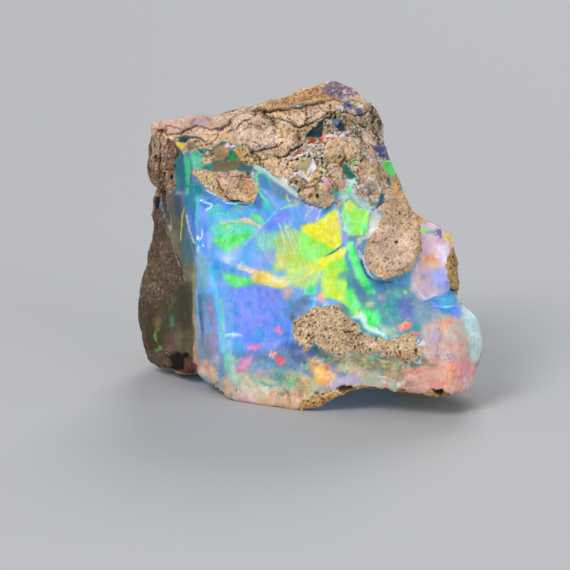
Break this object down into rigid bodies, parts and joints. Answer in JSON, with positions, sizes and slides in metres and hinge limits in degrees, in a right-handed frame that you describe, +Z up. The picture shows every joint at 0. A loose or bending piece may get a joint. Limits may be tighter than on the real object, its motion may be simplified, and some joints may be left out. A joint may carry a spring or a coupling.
{
  "type": "rough opal stone",
  "caption": "Rough precious opal with play of colour, still welded to its porous tan host rock, resting on a worn flat underside.",
  "frame": {"origin": "middle of the stone's box in plan, on the surface that it rests on", "axes": "+X to the right along the broad opal face, +Y into the stone from that face, +Z up"},
  "size_m": [0.035, 0.0238, 0.0314],
  "materials": {
    "precious_opal": "glossy",
    "host_rock": "rough"
  },
  "bodies": {
    "root": {"rough_opal": "precious_opal"}
  },
  "joints": []
}
